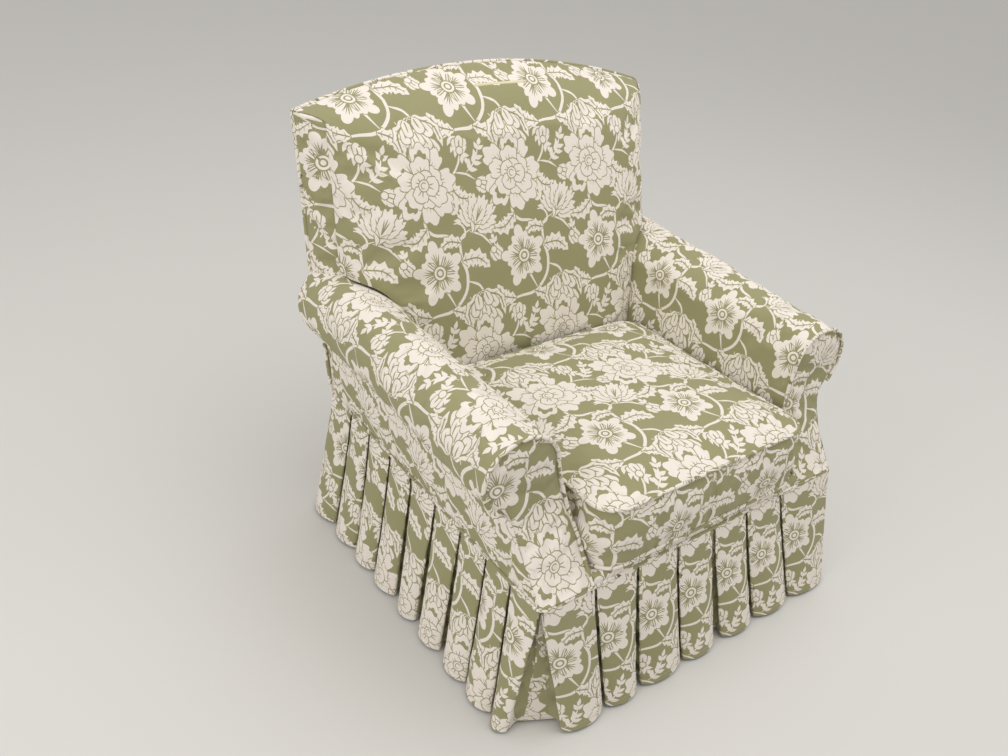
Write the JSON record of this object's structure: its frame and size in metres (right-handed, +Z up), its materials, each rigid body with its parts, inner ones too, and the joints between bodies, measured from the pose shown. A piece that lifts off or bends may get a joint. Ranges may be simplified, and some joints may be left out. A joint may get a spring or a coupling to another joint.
{
  "type": "easy chair",
  "caption": "Skirted easy chair with rolled arms, a loose box cushion and a pleated skirt to the floor.",
  "frame": {"origin": "on the floor under the centre of the chair's box", "axes": "+Z up; -Y towards the front of the chair, where the sitter faces; +X towards the sitter's left"},
  "size_m": [0.8082, 0.7794, 0.8554],
  "materials": {
    "wood": "matte",
    "cloth": "matte",
    "padding": "matte",
    "jute": "matte",
    "cambric": "matte",
    "steel": "satin",
    "zip": "matte"
  },
  "bodies": {
    "chair": {"arm_cover_left": "cloth", "arm_cover_right": "cloth", "arm_front_panel_left": "cloth", "arm_front_panel_right": "cloth", "arm_pad_left": "padding", "arm_pad_right": "padding", "arm_rail_left": "wood", "arm_rail_right": "wood", "arm_stump_left": "wood", "arm_stump_right": "wood", "arm_welt_left": "cloth", "arm_welt_right": "cloth", "back_burlap": "jute", "back_pad": "padding", "back_post_left": "wood", "back_post_right": "wood", "back_welt": "cloth", "corner_block_left": "wood", "corner_block_right": "wood", "crest_rail": "wood", "deck_cover": "cloth", "deck_pad": "padding", "dust_cover": "cambric", "front_clip_1": "steel", "front_clip_2": "steel", "front_clip_3": "steel", "front_clip_4": "steel", "front_glide_left": "steel", "front_glide_right": "steel", "front_leg_left": "wood", "front_leg_right": "wood", "front_rail": "wood", "inside_back_cover": "cloth", "lower_back_rail": "wood", "outside_back_cover": "cloth", "rear_clip_1": "steel", "rear_clip_2": "steel", "rear_clip_3": "steel", "rear_clip_4": "steel", "rear_glide_left": "steel", "rear_glide_right": "steel", "rear_rail": "wood", "seat_spring_1": "steel", "seat_spring_2": "steel", "seat_spring_3": "steel", "seat_spring_4": "steel", "side_rail_left": "wood", "side_rail_right": "wood", "skirt_back": "cloth", "skirt_front": "cloth", "skirt_left": "cloth", "skirt_right": "cloth", "skirt_welt": "cloth"},
    "seat_cushion": {"cushion_cover": "cloth", "cushion_core": "padding", "cushion_welt_bottom": "cloth", "cushion_welt_top": "cloth", "cushion_zip": "zip"},
    "zip_pull": {"zip_slider": "steel"}
  },
  "joints": [
    {"name": "cushion_lift", "type": "slide", "parent": "chair", "child": "seat_cushion", "axis": [0, 0, 1], "range_m": [0, 0.2]},
    {"name": "zip_slide", "type": "slide", "parent": "seat_cushion", "child": "zip_pull", "axis": [-1, 0, 0], "range_m": [0, 0.336]}
  ]
}
